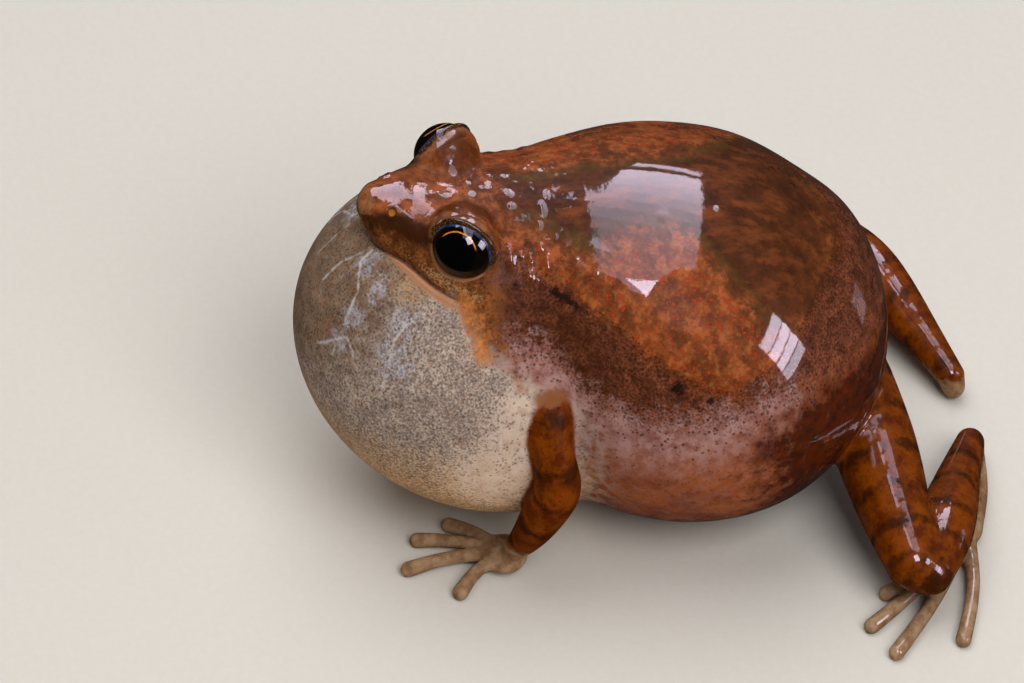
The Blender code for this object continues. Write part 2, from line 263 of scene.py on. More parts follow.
# A smooth run through points of X, Y, Z and radius
def smoothRun(points):
    points = np.array(points, float)
    curves = [spline(range(len(points)), points[:, k]) for k in range(4)]
    last = len(points) - 1

    def at(u):
        values = [curve(u) for curve in curves]
        return np.stack([v[0] for v in values], -1), np.stack([v[1] for v in values], -1)

    return at, last


# A limb: the nearest place on its run is found roughly and then closed in on, so that its skin has no facets
def limbForm(points, margin=1.2):
    at, last = smoothRun(points)
    steps = np.linspace(0, last, last * 6 + 1)
    knots = at(steps)[0]
    low = knots[:, :3].min(0) - knots[:, 3].max() - margin
    high = knots[:, :3].max(0) + knots[:, 3].max() + margin

    def form(p):
        near = np.flatnonzero(((p > low) & (p < high)).all(1))
        q = p[near]
        if not len(q):
            return near, np.zeros(0), np.zeros((0, 3))
        best, u = np.full(len(q), 1e9), np.zeros(len(q))
        for step, knot in zip(steps, knots):
            d = lengthOf(q - knot[:3]) - knot[3]
            closer = d < best
            best[closer], u[closer] = d[closer], step
        for _ in range(3):
            place, way = at(u)
            ray = q - place[:, :3]
            u = np.clip(u + (ray * way[:, :3]).sum(1) / (way[:, :3] ** 2).sum(1), 0, last)
        place = at(u)[0]
        ray = q - place[:, :3]
        far = lengthOf(ray)
        return near, far - place[:, 3], ray / (far[:, None] + 1e-9)

    return form


def everywhere(form):
    def near(p):
        return slice(None), *form(p)
    return near


# Two forms run into each other over a width, which may differ from point to point.
def blended(one, two, width):
    (d1, n1), (d2, n2) = one, two
    near = np.clip(1 - np.abs(d1 - d2) / width, 0.0, 1.0)
    first = d1 < d2
    share = np.where(first, 1 - near ** 2 / 2, near ** 2 / 2)[:, None]
    return np.minimum(d1, d2) - near ** 3 * width / 6, share * n1 + (1 - share) * n2


def digitRun(root, tip, bow):
    start, end = np.array([*root, digit["height"] + 0.12]), np.array([*tip, digit["height"]])
    side = np.array([end[1] - start[1], start[0] - end[0], 0.0])
    middle = (start + end) / 2 + side / lengthOf(side) * bow + (0, 0, 0.1)
    return [(*start, digit["radius"] * 1.15), (*middle, digit["radius"] * 0.92), (*end, digit["tip"])]


bodyForm, bodySection = loftForm(body["sections"], body["front"], body["rear"])
headSections = [(y, (top + low) / 2, wide, (top - low) / 2) for y, top, low, wide in head["sections"]]
headForm, headSection = loftForm(headSections, head["front"], head["rear"])
sacForm = ellipsoidForm(sac["centre"], sac["halfAxes"], sac["tilt"])


def eyeCentre(side):
    return flipped(eye["centre"], side) - (0, 0, eye["farLower"] if side < 0 else 0)


def moundCentre(side):
    return eyeCentre(side) + flipped(eye["moundInset"], -side)


moundForms = [ellipsoidForm(moundCentre(side), eye["mound"]) for side in (1, -1)]


def limbRuns(side):
    flip = np.array((side, 1, 1, 1))
    palm, toes = hand["palm"][:2], leg["toeRoot"]
    runs = [(leg[piece], leg["blend"]) for piece in ("thigh", "shank", "tarsus")]
    runs += [(arm["points"], arm["blend"])]
    runs += [(digitRun(toes, tip, leg["bow"]), leg["blend"]) for tip in leg["tips"]]
    runs += [(digitRun(palm, tip, hand["bow"]), hand["blend"]) for tip in hand["tips"]]
    return [(np.array(points) * flip, blend) for points, blend in runs]


limbs = [(points, blend) for side in (1, -1) for points, blend in limbRuns(side)]
limbForms = [(limbForm(points), blend) for points, blend in limbs]
for side in (1, -1):
    palm = ellipsoidForm(flipped(hand["palm"], side), hand["palmSize"])
    limbForms.append((everywhere(palm), hand["blend"]))


# The whole skin as one form
def skinForm(p):
    trunk = blended(bodyForm(p), headForm(p), head["blend"])
    for mound in moundForms:
        trunk = blended(trunk, mound(p), eye["moundBlend"])
    chest = smoothStep(-8.8, -7.2, p[:, 1])
    crease = sac["blendLip"] + (sac["blendChest"] - sac["blendLip"]) * chest
    away, out = blended(trunk, sacForm(p), crease)
    for form, blend in limbForms:
        near, d, n = form(p)
        away[near], out[near] = blended((away[near], out[near]), (d, n), blend)
    return away, out


def ontoSkin(p, steps=3):
    for _ in range(steps):
        away, out = skinForm(p)
        p = p - out / (lengthOf(out) ** 2 + 0.05)[:, None] * np.clip(away, -0.3, 0.3)[:, None]
    return p


# Rings of faces from each loop of points to the next
def bridge(bm, loops):
    sides = len(loops[0])
    for one, two in zip(loops, loops[1:]):
        for n in range(sides):
            bm.faces.new((one[n], one[(n + 1) % sides], two[(n + 1) % sides], two[n]))


# Coarse closed meshes of the same forms, which a remesh fuses before its points are drawn onto the skin
def loftMesh(bm, section, front, rear, rings=40, sides=48):
    loops = []
    for k in range(1, rings):
        y = front + (rear - front) * (1 - math.cos(math.pi * k / rings)) / 2
        mid, wide, high = section(y)
        turns = [2 * math.pi * n / sides for n in range(sides)]
        loops.append([bm.verts.new((wide * math.cos(t), y, mid + high * math.sin(t))) for t in turns])
    bridge(bm, loops)
    bm.faces.new(loops[0])
    bm.faces.new(reversed(loops[-1]))


def ballMesh(bm, centre, halfAxes, tilt=0.0, detail=4):
    place = Matrix.Translation(centre) @ Matrix.Rotation(math.radians(tilt), 4, "X")
    place = place @ Matrix.Diagonal((*halfAxes, 1.0))
    bmesh.ops.create_icosphere(bm, subdivisions=detail, radius=1.0, matrix=place)


def tubeMesh(bm, points, sides=12):
    at, last = smoothRun(points)
    knots, ways = at(np.linspace(0, last, last * 4 + 1))
    rings = [(k, knots[k, :3], knots[k, 3]) for k in range(len(knots))]
    # round ends: how far beyond the last ring, and how wide, in radii
    for far, wide in ((0.5, 0.87), (0.9, 0.44)):
        first, final = [
            (k, knots[k, :3] + sign * unit(ways[k][:3]) * knots[k, 3] * far, knots[k, 3] * wide)
            for k, sign in ((0, -1), (-1, 1))
        ]
        rings = [first, *rings, final]
    loops = []
    for k, place, radius in rings:
        way = Vector(ways[k][:3])
        turn = way.to_track_quat("Z", "Y").to_matrix()
        loop = []
        for n in range(sides):
            angle = 2 * math.pi * n / sides
            spoke = Vector((math.cos(angle), math.sin(angle), 0)) * float(radius)
            loop.append(bm.verts.new(Vector(place) + turn @ spoke))
        loops.append(loop)
    bridge(bm, loops)
    bm.faces.new(reversed(loops[0]))
    bm.faces.new(loops[-1])


def meshFrom(bm, name):
    mesh = bpy.data.meshes.new(name)
    bm.to_mesh(mesh)
    bm.free()
    return mesh


def placed(name, data):
    made = bpy.data.objects.new(name, data)
    bpy.context.scene.collection.objects.link(made)
    return made


def coordinates(mesh):
    flat = np.empty(len(mesh.vertices) * 3)
    mesh.vertices.foreach_get("co", flat)
    return flat.reshape(-1, 3)


def setCoordinates(mesh, p):
    mesh.vertices.foreach_set("co", np.ascontiguousarray(p, dtype=np.float32).ravel())
    mesh.update()


def applied(obj):
    graph = bpy.context.evaluated_depsgraph_get()
    graph.update()
    mesh = bpy.data.meshes.new_from_object(obj.evaluated_get(graph))
    obj.modifiers.clear()
    obj.data = mesh
    return mesh


# Evens out the points: each one moves towards the mean of those it shares an edge with
def relaxed(mesh, p, share, steps):
    ends = np.empty(len(mesh.edges) * 2, dtype=np.int64)
    mesh.edges.foreach_get("vertices", ends)
    a, b = ends[::2], ends[1::2]
    count = np.bincount(ends, minlength=len(p))[:, None]
    share = np.broadcast_to(np.asarray(share, float), (len(p),))[:, None]
    for _ in range(steps):
        total = np.stack(
            [np.bincount(a, p[b, k], len(p)) + np.bincount(b, p[a, k], len(p)) for k in range(3)], 1
        )
        p = p + share * (total / count - p)
    return p


def fusedSkin():
    bm = bmesh.new()
    loftMesh(bm, bodySection, body["front"][0], body["rear"][0])
    loftMesh(bm, headSection, head["front"][0], head["rear"][0])
    ballMesh(bm, sac["centre"], sac["halfAxes"], sac["tilt"], 5)
    for side in (1, -1):
        ballMesh(bm, moundCentre(side), eye["mound"])
        ballMesh(bm, flipped(hand["palm"], side), hand["palmSize"])
    for points, _ in limbs:
        tubeMesh(bm, points)
    made = placed("frogSkin", meshFrom(bm, "frogSkin"))
    fuse = made.modifiers.new("fuse", "REMESH")
    fuse.mode = "VOXEL"
    fuse.voxel_size = skin["voxel"]
    mesh = applied(made)
    p = ontoSkin(coordinates(mesh), 4)
    for _ in range(skin["relax"]):
        p = ontoSkin(relaxed(mesh, p, 0.5, 2), 1)
    setCoordinates(mesh, p)
    finer = made.modifiers.new("finer", "SUBSURF")
    finer.levels = finer.render_levels = 1
    mesh = applied(made)
    setCoordinates(mesh, ontoSkin(coordinates(mesh), 2))
    return made


def finerHead(obj):
    bm = bmesh.new()
    bm.from_mesh(obj.data)
    faces = []
    for face in bm.faces:
        centre = face.calc_center_median()
        if centre.y < skin["fineY"] and centre.z > skin["fineZ"]:
            faces.append(face)
    edges = list({edge for face in faces for edge in face.edges})
    bmesh.ops.subdivide_edges(bm, edges=edges, cuts=1, use_grid_fill=True)
    bmesh.ops.triangulate(bm, faces=[face for face in bm.faces if len(face.verts) > 4])
    bm.to_mesh(obj.data)
    bm.free()
    p = coordinates(obj.data)
    near = (p[:, 1] < skin["fineY"] + 0.2) & (p[:, 2] > skin["fineZ"] - 0.2)
    p[near] = ontoSkin(relaxed(obj.data, p, 0.4, 1)[near], 2)
    setCoordinates(obj.data, p)


frog = fusedSkin()
say("skin fused:", len(frog.data.vertices), "points")
finerHead(frog)
say("head refined:", len(frog.data.vertices), "points")
p = coordinates(frog.data)


# The line of the mouth is where head and sac meet: found along the head from the snout to the corner
mouth = {
    "front": -11.46,
    "corner": -8.85,
    "fade": 0.5,
    "steps": 46,
    "groove": 0.07,
    "grooveWidth": 0.07,
    "lip": 0.07,             # how far the margin of the lower jaw stands out
    "lipWide": (0.05, 0.19),  # half its width at the snout and at the corner
}


def mouthLine():
    points = []
    for y in np.linspace(mouth["front"], mouth["corner"] + mouth["fade"], mouth["steps"]):
        mid, wide, high = headSection(y)
        turns = np.radians(np.linspace(40, -90, 261))
        around = np.stack([wide * np.cos(turns), np.full(len(turns), y), mid + high * np.sin(turns)], 1)
        inside = np.flatnonzero(sacForm(around)[0] < 0)
        if len(inside):
            points.append(around[inside[0]])
    return np.array(points)


# Distance of each point from a line of points, and how far along the line its nearest place is, from 0 to 1
def alongLine(p, line):
    best, along = np.full(len(p), 1e9), np.zeros(len(p))
    ray = np.zeros((len(p), 3))
    for k, (a, b) in enumerate(zip(line, line[1:])):
        way = b - a
        t = np.clip((p - a) @ way / (way @ way), 0.0, 1.0)
        off = p - a - t[:, None] * way
        far = (off * off).sum(-1)
        closer = far < best
        best[closer] = far[closer]
        along[closer] = (k + t[closer]) / (len(line) - 1)
        ray[closer] = off[closer]
    return np.sqrt(best), along, ray


lips = mouthLine()
halves = folded(p)
nearHead = np.flatnonzero((halves[:, 1] < -7.5) & (halves[:, 2] > 9.0))
lipFar = np.full(len(p), 9.0)
lipAlong = np.zeros(len(p))
lipBelow = np.zeros(len(p))
far, along, ray = alongLine(halves[nearHead], lips)
lipFar[nearHead], lipAlong[nearHead] = far, along
headOut = headForm(halves[nearHead])[0] - sacForm(halves[nearHead])[0]
lipBelow[nearHead] = np.sign(headOut) * far
reach = smoothStep(1.0, 0.8, lipAlong)
away, out = skinForm(p)
halfWide = mouth["lipWide"][0] + (mouth["lipWide"][1] - mouth["lipWide"][0]) * lipAlong
swell = bell(lipBelow - halfWide, halfWide * 0.62) * (lipBelow > -0.2)
p = p + out * (swell * mouth["lip"] * reach)[:, None]
groove = bell(lipBelow, mouth["grooveWidth"]) * mouth["groove"]
p = p - out * (groove * reach * (lipFar < 1))[:, None]
say("mouth cut along", len(lips), "points")


# Each eye has axes of its own: the way it looks, towards the rear and up
def eyeAxes(side):
    look = unit(eye["look"] if side > 0 else eye["farLook"])
    rear = unit(np.cross((0, 0, 1), look)) * side
    up = np.cross(look, rear) * side
    lower = math.radians(eye["turned"])
    return look, rear * math.cos(lower) + up * math.sin(lower), up * math.cos(lower) - rear * math.sin(lower)


# Where directions from the middle of an eye lie: the turn about its axis, and how far out,
# with 1 at the lid's rim
def lidPlace(way, look, rear, up):
    turn = np.arctan2(way @ up, way @ rear)
    tilt = np.degrees(np.arccos(np.clip(way @ look, -1, 1)))
    edge = 1 / np.sqrt((np.cos(turn) / eye["halfLength"]) ** 2 + (np.sin(turn) / eye["halfHeight"]) ** 2)
    return turn, tilt / edge


def aroundEye(p, side):
    centre = eyeCentre(side)
    near = np.flatnonzero(lengthOf(p - centre) < eye["around"])
    ray = p[near] - centre
    far = lengthOf(ray)
    way = ray / far[:, None]
    return near, way, far, *lidPlace(way, *eyeAxes(side))


# Lids hug the eyeball. Within the opening the skin goes under it.
def shapeLids(p):
    for side in (1, -1):
        near, way, far, turn, e = aroundEye(p, side)
        upper = smoothStep(-0.2, 0.6, np.sin(turn))
        # over the rim, then back down to the skin round it
        lid = np.maximum(far, eye["radius"] + eye["lidThick"] * (0.7 + 0.5 * upper))
        outer = np.maximum(far + (lid - far) * smoothStep(*eye["lidFades"], e), eye["radius"] + 0.05)
        roll, fold = [bell(e - out, wide) * height for out, wide, height in (eye["roll"], eye["fold"])]
        under = eye["radius"] - eye["sunk"]
        target = under + (outer + roll - fold * upper - under) * smoothStep(*eye["opening"], e)
        p[near] = eyeCentre(side) + way * target[:, None]
    return p


p = shapeLids(p)
say("lids shaped")


nostril = {"place": (0.95, -10.52, 13.42), "radius": 0.14, "depth": 0.1, "rim": 0.04, "rimWide": 0.05}
loreal = {"place": (1.95, -9.95, 12.5), "reach": (0.9, 0.9, 0.7), "depth": 0.13}
canthus = {
    "points": ((0.95, -10.45, 13.5), (1.5, -9.95, 13.55), (2.0, -9.5, 13.5)),
    "wide": 0.3,
    "height": 0.07,
    "around": 2.5,
}


def shapeSnout(p):
    out = skinForm(p)[1]
    pits = np.zeros(len(p))
    for side in (1, -1):
        centre = ontoSkin(flipped([nostril["place"]], side), 5)[0]
        r = lengthOf(p - centre)
        pit = np.clip(1 - (r / (nostril["radius"] * 1.25)) ** 2, 0, 1) ** 0.8 * nostril["depth"]
        rim = bell(r - nostril["radius"] * 1.4, nostril["rimWide"]) * nostril["rim"]
        pits = np.maximum(pits, smoothStep(nostril["radius"] * 1.05, nostril["radius"] * 0.75, r))
        p = p + out * (rim - pit)[:, None]
        dent = lengthOf((p - flipped(loreal["place"], side)) / np.array(loreal["reach"]))
        p = p - out * (bell(dent) * loreal["depth"])[:, None]
        line = flipped(canthus["points"], side)
        near = np.flatnonzero(lengthOf(p - line[len(line) // 2]) < canthus["around"])
        far = alongLine(p[near], line)[0]
        p[near] += out[near] * (bell(far, canthus["wide"]) * canthus["height"])[:, None]
    return p, pits


p, nostrilPit = shapeSnout(p)
say("snout shaped")


# Low warts all over the back, small granules on the neck, and ridges behind the eye that catch the light
warts = (
    {"count": 60, "seed": 7, "radius": (0.1, 0.2), "height": (0.012, 0.035), "y": (-8.5, 5.0), "x": 6.5},
    {"count": 110, "seed": 11, "radius": (0.05, 0.1), "height": (0.01, 0.03), "y": (-7.6, -4.3), "x": 3.4},
)
ridges = {
    # X, Y, Z, half length across the back, half width, height
    "places": (
        (-0.45, -6.48, 13.44, 0.14, 0.13, 0.025), (0.1, -7.1, 13.4, 0.12, 0.12, 0.02),
        (0.56, -6.42, 13.43, 0.16, 0.14, 0.025), (1.06, -6.44, 13.33, 0.16, 0.15, 0.025),
        (1.3, -5.42, 13.31, 0.36, 0.15, 0.03), (0.7, -5.2, 13.35, 0.24, 0.12, 0.025),
        (1.9, -5.6, 13.1, 0.2, 0.12, 0.03),
        (2.77, -6.71, 12.56, 0.42, 0.16, 0.1), (2.73, -6.35, 12.56, 0.14, 0.1, 0.055),
        (2.83, -6.05, 12.49, 0.18, 0.12, 0.06), (2.58, -5.66, 12.69, 0.18, 0.1, 0.05),
        (3.1, -5.5, 12.35, 0.42, 0.15, 0.1), (3.33, -6.13, 12.06, 0.24, 0.16, 0.1),
        (2.3, -5.1, 12.8, 0.14, 0.1, 0.03), (0.3, -8.6, 13.5, 0.16, 0.2, 0.03),
        (0.9, -8.2, 13.4, 0.2, 0.14, 0.03), (-0.3, -7.7, 13.3, 0.16, 0.14, 0.03),
    ),
}


def raiseWarts(p):
    out = skinForm(p)[1]
    pool = np.flatnonzero(p[:, 2] > 7.5)
    for kind in warts:
        draw = random.Random(kind["seed"])
        for _ in range(kind["count"]):
            x, y = draw.uniform(-kind["x"], kind["x"]), draw.uniform(*kind["y"])
            radius = draw.uniform(*kind["radius"])
            height = draw.uniform(*kind["height"])
            if y > -4.5 and draw.random() < 0.6:
                continue                           # few on the taut back
            k = pool[np.argmin((p[pool, 0] - x) ** 2 + (p[pool, 1] - y) ** 2)]
            near = pool[lengthOf(p[pool] - p[k]) < radius * 2.5]
            r = lengthOf(p[near] - p[k]) / radius
            p[near] += out[near] * (bell(r) * height)[:, None]
    tops = np.zeros(len(p))
    for side in (1, -1):
        for x, y, z, long, wide, height in ridges["places"]:
            away = p[pool] - (x * side, y, z)
            r = lengthOf(away / (long, wide, long))
            near = pool[r < 2.6]
            rise = bell(r[r < 2.6])
            p[near] += out[near] * (rise * height * (1 if side > 0 else 0.4))[:, None]
            tops[near] = np.maximum(tops[near], rise)
    return p, tops


p, ridgeTops = raiseWarts(p)
p[:, 2] = np.maximum(p[:, 2], 0.0)
say("warts raised")

setCoordinates(frog.data, (p + (0, shift, 0)) * mm)
frog.data.shade_smooth()
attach(frog, "root")
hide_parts(*[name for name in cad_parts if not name.startswith("eye")])


# Where each colour of the skin lies. Places are on the left half, X, Y, Z, and curves are pairs of Y
# and a value.
pattern = {
    "markNear": (
        (-8.9, 0.6), (-8.2, 1.2), (-7.4, 1.8), (-6.4, 1.6), (-5.4, 2.0), (-4.8, 2.6), (-3.9, 2.9),
        (-3.2, 2.5), (-0.6, 2.25), (-0.1, 3.1), (0.9, 4.4), (1.8, 5.3), (3.2, 5.7), (6.0, 4.6),
    ),
    "markFar": (
        (-8.9, 0.5), (-8.2, 0.9), (-7.4, 1.0), (-6.0, 0.4), (-4.6, 0.45), (-3.6, 0.7), (-1.2, 0.9),
        (0.1, 1.5), (2.2, 3.3), (3.2, 4.3), (6.0, 4.4),
    ),
    "markEnds": (-7.0, 6.4),
    "sideLine": (
        (-11.3, 13.2), (-10.4, 13.45), (-9.4, 13.4), (-8.3, 13.3), (-7.1, 12.7), (-5.7, 11.96),
        (-4.7, 11.45), (-3.4, 10.8), (-2.1, 9.95), (-0.9, 9.25), (-0.2, 8.9), (0.6, 8.85), (1.8, 9.3),
        (2.6, 9.7), (3.8, 10.3),
    ),
    "lavenderTop": (
        (-7.5, 10.6), (-5.9, 10.2), (-5.2, 9.75), (-4.6, 8.9), (-3.2, 8.5), (-1.9, 8.4), (0.0, 8.5),
        (1.5, 8.8), (3.0, 8.9),
    ),
    "bellyTop": ((-7.0, 5.4), (-4.0, 6.1), (-2.0, 6.2), (0.0, 6.8), (1.5, 7.5), (4.0, 7.6), (6.5, 7.6)),
    "streak": ((3.75, -5.35, 11.7), (4.3, -4.55, 11.3), (5.15, -3.4, 10.6), (5.65, -2.75, 10.3)),
    "spots": ((3.55, -6.6, 11.95, 0.16), (6.6, -1.55, 9.35, 0.2), (6.93, -0.5, 8.9, 0.14)),
    "cheek": ((3.75, -8.4, 11.5), (4.2, -8.15, 11.0), (4.65, -8.05, 10.4), (5.0, -8.0, 10.05)),
    "cheekWide": 0.36,
    "faceDark": ((0.75, -11.1, 13.2), (1.25, -10.4, 13.25), (1.6, -10.0, 13.15), (1.95, -9.65, 13.1)),
    "faceDarkWide": 0.47,
    "shoulder": (5.6, -5.75, 8.5),
    "shoulderSize": (0.9, 0.62, 0.3),
    "sacTop": (
        (-12.0, 20.0), (-9.0, 12.6), (-8.6, 11.3), (-8.4, 10.65), (-7.9, 10.25), (-7.4, 9.85), (-6.7, 9.25),
        (-5.5, 8.3),
    ),
    # round places: X, Y, Z, how far out a colour has faded away and how far out it is still full
    "moundDark": ((1.4, -7.8, 13.95, 1.3, 0.6),),
    "snoutTan": ((0.4, -11.5, 13.5, 0.8, 0.2),),
    "dry": ((5.05, -1.1, 11.45, 1.9, 1.1),),    # below the window's reflection
    # on the sac, painted shade over its brown upper front and painted light over its cream side by the arm
    "sacShade": ((0.0, -12.4, 11.0, 5.6, 2.6),),
    "sacCream": ((5.8, -6.9, 8.3, 1.3, 0.0), (6.1, -7.0, 7.1, 1.7, 0.2), (6.0, -7.5, 5.3, 2.8, 0.5)),
    "sacGold": ((2.75, -10.1, 11.45, 1.3, 0.3),),
    "sacBlue": (
        (1.4, -11.45, 11.6, 1.1, 0.0), (2.5, -11.25, 11.3, 1.1, 0.0), (3.75, -10.45, 10.8, 1.4, 0.0),
        (2.75, -12.66, 9.5, 0.9, 0.0), (4.3, -10.9, 9.7, 1.8, 0.0), (2.6, -12.0, 10.3, 1.2, 0.0),
    ),
    "veins": (
        (
            (1.01, -11.23, 11.88), (1.21, -11.64, 11.59), (2.11, -11.86, 11.06), (2.47, -12.22, 10.47),
            (2.75, -12.6, 9.6),
        ),
        ((2.75, -12.66, 9.57), (2.39, -13.07, 9.12), (2.1, -13.3, 8.9)),
        ((2.75, -12.66, 9.57), (2.87, -12.88, 8.91)),
        ((2.75, -12.66, 9.57), (2.96, -12.38, 9.79), (3.42, -12.21, 9.46), (3.6, -12.2, 9.0)),
        ((0.9, -11.5, 11.7), (0.7, -12.29, 11.15), (0.7, -12.89, 10.5)),
        ((3.77, -10.42, 10.81), (3.95, -10.84, 10.34), (4.27, -11.08, 9.68), (4.53, -11.34, 8.81)),
    ),
    "veinWide": 0.07,
    "barGap": 1.5,           # millimetres from one dark bar of a limb to the next
}


def curveAt(name, y):
    pairs = np.array(pattern[name])
    return np.interp(y, pairs[:, 0], pairs[:, 1])


def nearPlaces(name):
    shares = [smoothStep(far, near, lengthOf(halves - (x, y, z))) for x, y, z, far, near in pattern[name]]
    return np.max(shares, axis=0)


def alongCurve(name):
    return alongLine(halves, np.array(pattern[name]))[0]


# Values for every point of a mesh, which its material reads
def keepFields(mesh, fields):
    for name, values in fields.items():
        field = mesh.attributes.new(name, "FLOAT", "POINT")
        field.data.foreach_set("value", np.ascontiguousarray(values, dtype=np.float32))


halves = folded(p)
x, y, z = p.T
trunkAway = blended(bodyForm(p), headForm(p), head["blend"])[0]
chest = smoothStep(-9.2, -7.4, y)
onSac = smoothStep(-1.0, 1.0, (trunkAway - sacForm(p)[0]) / (0.04 + 1.7 * chest))
onSac = onSac * smoothStep(0.7, -0.7, z - curveAt("sacTop", y))
above = z - curveAt("sideLine", y)                       # over the line along the side
inMark = np.where(x > 0, curveAt("markNear", y) - x, curveAt("markFar", y) + x)
markEdge = bell(inMark - 0.25, 0.4) * smoothStep(0.2, 1.4, above)
inMark = np.minimum(inMark, np.minimum(y - pattern["markEnds"][0], pattern["markEnds"][1] - y))
inMark = np.minimum(inMark, 0.6 * above - 0.1)

onLimb, bars = np.zeros(len(p)), np.zeros(len(p))
for (points, _), (form, _) in zip(limbs, limbForms):
    near, d, _ = form(p)
    share = smoothStep(0.3, 0.02, d)
    knots = smoothRun(points)[0](np.linspace(0, len(points) - 1, 25))[0][:, :3]
    length = lengthOf(np.diff(knots, axis=0)).sum()
    along = alongLine(p[near], knots)[1] * length
    best = share > onLimb[near]
    wave = np.cos(2 * math.pi * along / pattern["barGap"]) if length > 3.5 else np.zeros(len(near))
    bars[near[best]] = (share * wave)[best]
    onLimb[near] = np.maximum(onLimb[near], share)
for form, _ in limbForms[len(limbs):]:
    near, d, _ = form(p)
    onLimb = np.maximum(onLimb, smoothStep(0.3, 0.02, d))
onHand = onLimb * np.where(y < 0, smoothStep(2.0, 0.8, z), smoothStep(1.3, 0.6, z))
onSac = onSac * (1 - onLimb)

rim, lidRim = np.full(len(p), 9.0), np.zeros(len(p))
for side in (1, -1):
    near, _, far, turn, e = aroundEye(p, side)
    # skin further out isn't lid, even where it lies in line with it
    e = e + smoothStep(1.4, 1.75, far)
    rim[near] = np.minimum(rim[near], e + 0.22 * smoothStep(0.3, -0.3, np.sin(turn)))
    pale = bell(e - 1.03, 0.035) * smoothStep(-0.1, -0.6, np.sin(turn)) * smoothStep(1.3, 1.18, far)
    lidRim[near] = np.maximum(lidRim[near], pale)

spot = bell(alongCurve("streak"), 0.17)
for sx, sy, sz, radius in pattern["spots"]:
    spot = np.maximum(spot, np.exp(-(lengthOf(halves - (sx, sy, sz)) / radius) ** 2 * 0.7))
shoulderFar = lengthOf((halves - np.array(pattern["shoulder"])) / np.array(pattern["shoulderSize"]))
veinFar = np.min([alongLine(halves, np.array(line))[0] for line in pattern["veins"]], axis=0)
faceDark = bell(alongCurve("faceDark"), pattern["faceDarkWide"]) * smoothStep(0.25, -0.1, above)
onSide = (1 - onSac) * smoothStep(-8.6, -7.6, y)
lavenderDeep = curveAt("lavenderTop", y) - z              # how far under the top of the lavender
sideFront = smoothStep(-2.2, -4.6, y) * smoothStep(-8.8, -6.6, y) * smoothStep(0.2, -0.6, above)
dorsal = smoothStep(-0.6, 0.5, above) * (1 - onSac) * (1 - onLimb) * smoothStep(1.0, 1.2, rim)
rough = np.clip(smoothStep(-4.2, -6.0, y) + 0.25 * onLimb, 0, 1)
lipWide = halfWide * 1.15
lipBand = np.exp(-((lipBelow - lipWide) / lipWide) ** 4) * reach * smoothStep(0.05, 0.4, lipAlong)

# how whole the film of water is: on the taut back, then on the snout, least on the sac
crownWet = 0.36 + 0.5 * smoothStep(-8.9, -10.0, y)
wet = crownWet + (1 - crownWet) * smoothStep(-4.1, -3.4, y)
wet = wet * (1 - 0.45 * smoothStep(0.2, -0.4, above) * smoothStep(-6.0, -7.5, y))
wet = np.maximum(wet * (1 - 0.9 * faceDark), 0.9 * smoothStep(1.6, 1.2, rim))
wet = np.maximum(wet, smoothStep(0.1, 0.5, ridgeTops))
wet = wet * (1 - 0.8 * nearPlaces("dry"))

keepFields(frog.data, {
    "onSac": onSac,
    "onLimb": onLimb,
    "onBody": (1 - onSac) * (1 - onLimb) * (above < 0) * smoothStep(-7.8, -7.2, y),
    "bars": bars,
    "onHand": onHand,
    "marking": np.clip(0.5 + inMark / 1.1, 0, 1.3),
    "markEdge": markEdge * smoothStep(-8.0, -6.5, y),
    "belowLine": smoothStep(0.5, -0.5, above) * (1 - onSac),
    "lavender": smoothStep(-0.9, 0.9, lavenderDeep) * onSide * smoothStep(3.6, 1.8, y),
    "flankDots": smoothStep(2.3, -0.6, lavenderDeep) * onSide * (above < 0.3),
    "belly": smoothStep(1.3, -1.3, z - curveAt("bellyTop", y)) * onSide,
    "moundDark": nearPlaces("moundDark") * smoothStep(1.05, 1.2, rim),
    "dorsal": dorsal,
    "redZone": dorsal * (0.15 + 0.85 * smoothStep(0.2, -0.8, inMark)) * smoothStep(-9.2, -7.0, y),
    # painted shade: the lower rear, darkened where the body lies in shadow
    "rear": smoothStep(-0.4, 3.2, y) * smoothStep(8.6, 7.2, z) * (1 - onLimb),
    "faceSide": smoothStep(0.3, -0.3, above) * smoothStep(-6.2, -8.2, y) * (1 - onSac),
    "faceDark": faceDark,
    "snoutTan": nearPlaces("snoutTan"),
    "sideFront": sideFront * smoothStep(0.9, -0.5, lavenderDeep) * (1 - onSac) * (1 - onLimb),
    "lidRim": lidRim,
    "lipPale": bell(lipBelow + 0.35, 0.3) * smoothStep(0.15, 0.6, lipAlong) * (lipFar < 1.5),
    "lipBand": lipBand * (lipFar < 1),
    "lipLine": bell(lipBelow, 0.05) * reach * (lipFar < 1),
    "cheek": bell(alongCurve("cheek"), pattern["cheekWide"]),
    "shoulder": np.exp(-shoulderFar ** 4),
    "spot": spot,
    # painted shade on the sac's upper front, painted light on its cream side and along its underside
    **{name: nearPlaces(name) * onSac for name in ("sacShade", "sacCream", "sacGold", "sacBlue")},
    "sacUnder": smoothStep(7.6, 3.8, z) * onSac,
    "stipple": onSac * (1 - 0.6 * nearPlaces("sacCream")) * (1 - 0.3 * nearPlaces("sacShade")),
    "vein": bell(veinFar, pattern["veinWide"]) * onSac,
    "wet": wet * (1 - 0.8 * onSac) * (1 - 0.5 * onLimb),
    "lidEdge": smoothStep(1.26, 1.1, rim),
    "lidTop": smoothStep(1.5, 1.25, rim) * smoothStep(13.1, 13.5, z),
    "pit": nostrilPit,
    "rough": rough * (1 - onSac) * smoothStep(1.0, 1.3, rim),
})
say("skin fields kept")


def linear(hexColour):
    values = [int(hexColour[k:k + 2], 16) / 255 for k in (1, 3, 5)]
    return [v / 12.92 if v <= 0.04045 else ((v + 0.055) / 1.055) ** 2.4 for v in values] + [1.0]


